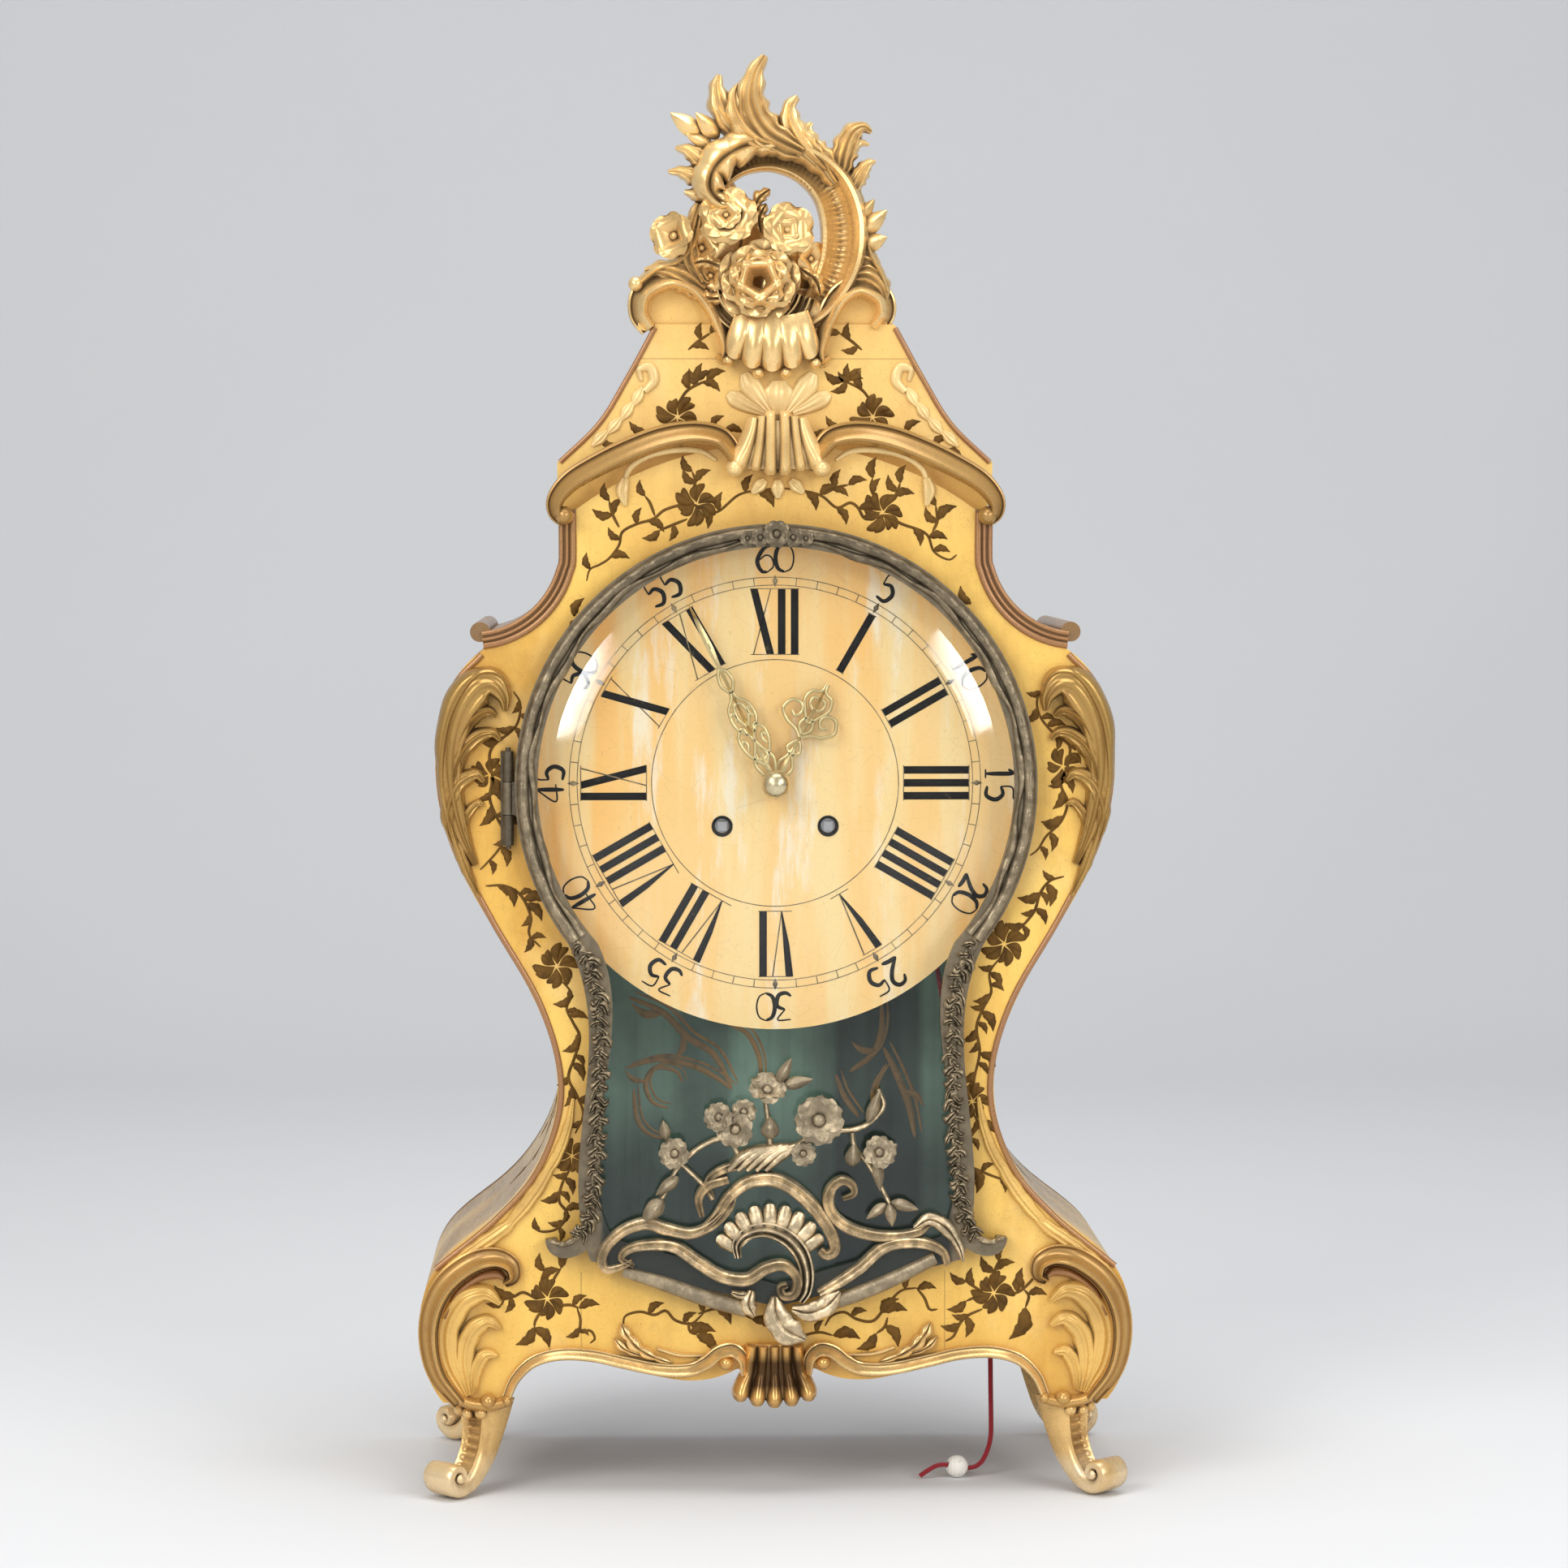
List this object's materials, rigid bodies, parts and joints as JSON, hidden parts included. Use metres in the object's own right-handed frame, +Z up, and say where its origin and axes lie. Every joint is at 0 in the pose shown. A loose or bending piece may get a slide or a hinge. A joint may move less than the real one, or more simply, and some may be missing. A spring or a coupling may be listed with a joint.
{
  "type": "bracket clock",
  "caption": "Waisted bracket clock in a painted and gilt case with scroll feet, leafy crest, glazed hinged door, round dial with hands, pendulum movement and repeat cord.",
  "frame": {"origin": "on the table at the middle of the clock's box, cord left out", "axes": "+Z up, -Y towards the viewer of the dial, +X to the viewer's right"},
  "size_m": [0.3966, 0.1994, 0.7983],
  "materials": {
    "yellow_lacquer": "painted lacquer with brown vine ornament",
    "gilt_wood": "worn gilding on carved wood",
    "gilt_bronze": "patinated cast bronze",
    "clear_glass": "clear",
    "dial_paint": "aged cream paint",
    "brass": "satin",
    "steel": "polished",
    "pine": "plain",
    "bell_metal": "turned",
    "red_cord": "twisted",
    "white_bead": "polished"
  },
  "bodies": {
    "case": {"front_board": "yellow_lacquer", "side_left": "yellow_lacquer", "side_right": "yellow_lacquer", "back_board": "yellow_lacquer", "floor_board": "pine", "top_board": "gilt_wood", "hood_front": "yellow_lacquer", "hood_sides": "yellow_lacquer", "hood_cap": "yellow_lacquer", "crest": "gilt_wood", "cornice_mouldings": "gilt_wood", "cornice_cartouche": "gilt_wood", "neck_mouldings": "gilt_wood", "shoulder_leaves": "gilt_wood", "base_scrolls": "gilt_wood", "apron_shell": "gilt_wood", "apron_mouldings": "gilt_wood", "corner_blocks": "pine", "foot_front_left": "gilt_wood", "foot_front_right": "gilt_wood", "foot_rear_left": "gilt_wood", "foot_rear_right": "gilt_wood", "seat_board": "pine", "case_hinge": "gilt_bronze", "cord_bush": "brass", "pull_cord": "red_cord", "cord_bead": "white_bead", "inner_cord": "red_cord", "back_hinges": "brass", "front_plate": "brass", "back_plate": "brass", "plate_pillars": "brass", "dial_plate": "dial_paint", "bell": "bell_metal", "bell_post": "steel", "pendulum_cock": "brass"},
    "door": {"door_frame": "gilt_bronze", "door_glass": "clear_glass", "door_mount": "gilt_bronze"},
    "back_door": {"back_door": "pine"},
    "minute_arbor": {"centre_wheel": "brass", "cannon_pinion": "brass", "minute_hand": "brass", "hand_nut": "brass"},
    "hour_pipe": {"hour_wheel": "brass", "hour_hand": "brass"},
    "minute_wheel": {"minute_wheel": "brass"},
    "going_barrel": {"going_barrel": "brass"},
    "going_arbor": {"going_arbor": "steel"},
    "third_wheel": {"third_wheel": "brass"},
    "escape_wheel": {"escape_wheel": "brass"},
    "pendulum": {"anchor": "steel", "pendulum_rod": "steel", "pendulum_bob": "brass"},
    "strike_barrel": {"strike_barrel": "brass"},
    "strike_arbor": {"strike_arbor": "steel"},
    "pin_wheel": {"pin_wheel": "brass"},
    "fly": {"fly": "steel"},
    "hammer": {"hammer": "steel"},
    "repeat_lever": {"repeat_lever": "steel"}
  },
  "joints": [
    {"name": "door_swing", "type": "hinge", "parent": "case", "child": "door", "pos_m": [-0.1477, -0.08, 0.389], "axis": [0, 0, -1], "range_deg": [0, 95]},
    {"name": "back_door_swing", "type": "hinge", "parent": "case", "child": "back_door", "pos_m": [-0.0826, 0.0932, 0.415], "axis": [0, 0, 1], "range_deg": [0, 110]},
    {"name": "minute_turn", "type": "hinge", "parent": "case", "child": "minute_arbor", "pos_m": [0, -0.03, 0.396], "axis": [0, 1, 0], "continuous": true},
    {"name": "hour_turn", "type": "hinge", "parent": "case", "child": "hour_pipe", "pos_m": [0, -0.052, 0.396], "axis": [0, 1, 0], "continuous": true},
    {"name": "minute_wheel_turn", "type": "hinge", "parent": "case", "child": "minute_wheel", "pos_m": [0, -0.048, 0.378], "axis": [0, 1, 0], "continuous": true},
    {"name": "going_barrel_turn", "type": "hinge", "parent": "case", "child": "going_barrel", "pos_m": [0.0295, -0.02, 0.372], "axis": [0, 1, 0], "continuous": true},
    {"name": "third_turn", "type": "hinge", "parent": "case", "child": "third_wheel", "pos_m": [0, -0.013, 0.418], "axis": [0, 1, 0], "continuous": true},
    {"name": "escape_turn", "type": "hinge", "parent": "case", "child": "escape_wheel", "pos_m": [0, -0.013, 0.4356], "axis": [0, 1, 0], "continuous": true},
    {"name": "going_winding", "type": "hinge", "parent": "case", "child": "going_arbor", "pos_m": [0.0295, -0.02, 0.372], "axis": [0, 1, 0], "continuous": true},
    {"name": "strike_turn", "type": "hinge", "parent": "case", "child": "strike_barrel", "pos_m": [-0.0295, -0.02, 0.372], "axis": [0, 1, 0], "continuous": true},
    {"name": "pin_wheel_turn", "type": "hinge", "parent": "case", "child": "pin_wheel", "pos_m": [-0.04375, -0.013, 0.40726], "axis": [0, 1, 0], "continuous": true},
    {"name": "fly_turn", "type": "hinge", "parent": "case", "child": "fly", "pos_m": [-0.04375, -0.013, 0.42726], "axis": [0, 1, 0], "continuous": true},
    {"name": "strike_winding", "type": "hinge", "parent": "case", "child": "strike_arbor", "pos_m": [-0.0295, -0.02, 0.372], "axis": [0, 1, 0], "continuous": true},
    {"name": "pendulum_swing", "type": "hinge", "parent": "case", "child": "pendulum", "pos_m": [0, 0.026, 0.462], "axis": [0, 1, 0], "range_deg": [-3, 3]},
    {"name": "hammer_lift", "type": "hinge", "parent": "case", "child": "hammer", "pos_m": [-0.052, -0.0135, 0.454], "axis": [0, -1, 0], "range_deg": [0, 14], "stiffness_Nm_per_rad": 0.06, "springref_deg": -20.05},
    {"name": "repeat_pull", "type": "hinge", "parent": "case", "child": "repeat_lever", "pos_m": [0.048, -0.0457, 0.362], "axis": [0, 1, 0], "range_deg": [0, 14], "stiffness_Nm_per_rad": 0.08, "springref_deg": -22.92}
  ],
  "couplings": [
    {"joint": "hour_turn", "follows": "minute_turn", "ratio": 0.083333},
    {"joint": "minute_wheel_turn", "follows": "minute_turn", "ratio": -0.33333},
    {"joint": "going_barrel_turn", "follows": "minute_turn", "ratio": -0.14286},
    {"joint": "third_turn", "follows": "minute_turn", "ratio": -10},
    {"joint": "escape_turn", "follows": "minute_turn", "ratio": 100},
    {"joint": "pin_wheel_turn", "follows": "strike_turn", "ratio": -7},
    {"joint": "fly_turn", "follows": "strike_turn", "ratio": 63}
  ]
}
